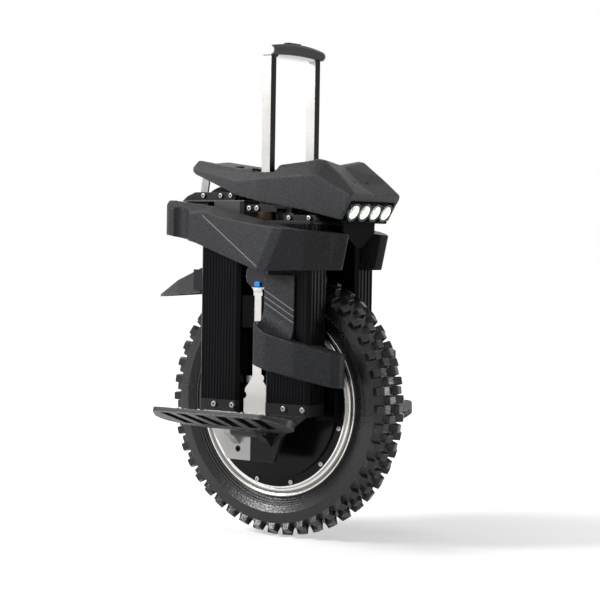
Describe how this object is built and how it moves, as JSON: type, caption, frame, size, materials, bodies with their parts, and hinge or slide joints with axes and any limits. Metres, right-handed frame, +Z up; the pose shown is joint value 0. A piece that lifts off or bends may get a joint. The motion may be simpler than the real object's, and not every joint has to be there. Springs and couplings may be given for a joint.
{
  "type": "electric unicycle",
  "caption": "Suspended electric unicycle with a knobby tyre and hub motor between ribbed battery boxes, folding pedals, knee and calf pads, a lit roof and a pull-up trolley handle.",
  "frame": {"origin": "point on the ground under the axle, where the tyre stands", "axes": "+X forward, +Y to the rider's left, +Z up"},
  "size_m": [0.523, 0.4538, 0.8645],
  "materials": {
    "moulded_plastic": "matte",
    "pad_foam": "matte",
    "ribbed_aluminium": "satin",
    "bare_aluminium": "satin",
    "black_metal": "satin",
    "grey_metal": "satin",
    "bolt_steel": "satin",
    "rubber": "matte",
    "bump_rubber": "matte",
    "motor_black": "gloss",
    "lens_white": "gloss",
    "lens_red": "gloss",
    "bronze": "satin",
    "blue_metal": "satin",
    "copper": "satin",
    "lamination": "satin",
    "magnet": "satin",
    "board": "satin",
    "cell_wrap": "satin",
    "steel": "satin",
    "grip_plastic": "satin"
  },
  "bodies": {
    "chassis": {"battery_box_front_left": "ribbed_aluminium", "battery_box_front_right": "ribbed_aluminium", "battery_box_rear_left": "ribbed_aluminium", "battery_box_rear_right": "ribbed_aluminium", "battery_packs": "cell_wrap", "box_feet": "black_metal", "frame_bolts": "bolt_steel", "top_plate": "black_metal", "slide_guides": "black_metal", "spring_bodies": "black_metal", "bump_stops": "bump_rubber", "pedal_hanger_left": "grey_metal", "pedal_hanger_right": "grey_metal", "hinge_pins": "steel", "knee_pad_left": "pad_foam", "knee_pad_right": "pad_foam", "calf_pad_left": "pad_foam", "calf_pad_right": "pad_foam", "mudguard": "moulded_plastic", "mudguard_brackets": "black_metal", "roof": "moulded_plastic", "light_board": "board", "light_lenses": "lens_white", "tail_light": "lens_red", "nose_panel": "black_metal", "controller_case": "grey_metal", "control_board": "board", "controller_lid": "black_metal", "rear_rails": "black_metal", "roof_struts": "bare_aluminium", "front_brackets": "black_metal", "handle_sleeves": "black_metal", "handle_clamps": "grey_metal", "handle_bushes": "bronze"},
    "carriage": {"stator_carrier": "bare_aluminium", "stator_core": "lamination", "stator_windings": "copper", "axle": "steel", "axle_bolts": "bolt_steel", "fork_leg_left": "bare_aluminium", "fork_leg_right": "bare_aluminium", "leg_caps": "blue_metal", "spring_shafts": "steel"},
    "wheel": {"tyre": "rubber", "rim": "bare_aluminium", "motor_cover_left": "motor_black", "motor_cover_right": "motor_black", "wheel_bearings": "steel", "rotor_magnets": "magnet"},
    "handle": {"handle_tubes": "bare_aluminium", "grip": "grip_plastic", "grip_caps": "bare_aluminium", "grip_plate": "bare_aluminium"},
    "release_button_body": {"release_button": "grip_plastic"},
    "power_button_body": {"power_button": "grip_plastic"},
    "pedal_left_body": {"pedal_left": "black_metal"},
    "pedal_right_body": {"pedal_right": "black_metal"}
  },
  "joints": [
    {"name": "suspension", "type": "slide", "parent": "chassis", "child": "carriage", "axis": [0, 0, 1], "range_m": [0, 0.06], "stiffness_N_per_m": 12000, "springref_m": -0.02},
    {"name": "wheel_spin", "type": "hinge", "parent": "carriage", "child": "wheel", "pos_m": [0, 0, 0.235], "axis": [0, 1, 0], "continuous": true},
    {"name": "handle_slide", "type": "slide", "parent": "chassis", "child": "handle", "axis": [0, 0, 1], "range_m": [-0.19, 0]},
    {"name": "release_press", "type": "slide", "parent": "handle", "child": "release_button_body", "axis": [0, 0, -1], "range_m": [0, 0.003], "stiffness_N_per_m": 400, "springref_m": -0.002},
    {"name": "power_press", "type": "slide", "parent": "chassis", "child": "power_button_body", "axis": [0, 0, -1], "range_m": [0, 0.002], "stiffness_N_per_m": 500, "springref_m": -0.001},
    {"name": "pedal_fold_left", "type": "hinge", "parent": "chassis", "child": "pedal_left_body", "pos_m": [0, 0.116, 0.191], "axis": [1, 0, 0], "range_deg": [0, 57]},
    {"name": "pedal_fold_right", "type": "hinge", "parent": "chassis", "child": "pedal_right_body", "pos_m": [0, -0.116, 0.191], "axis": [-1, 0, 0], "range_deg": [0, 57]}
  ]
}
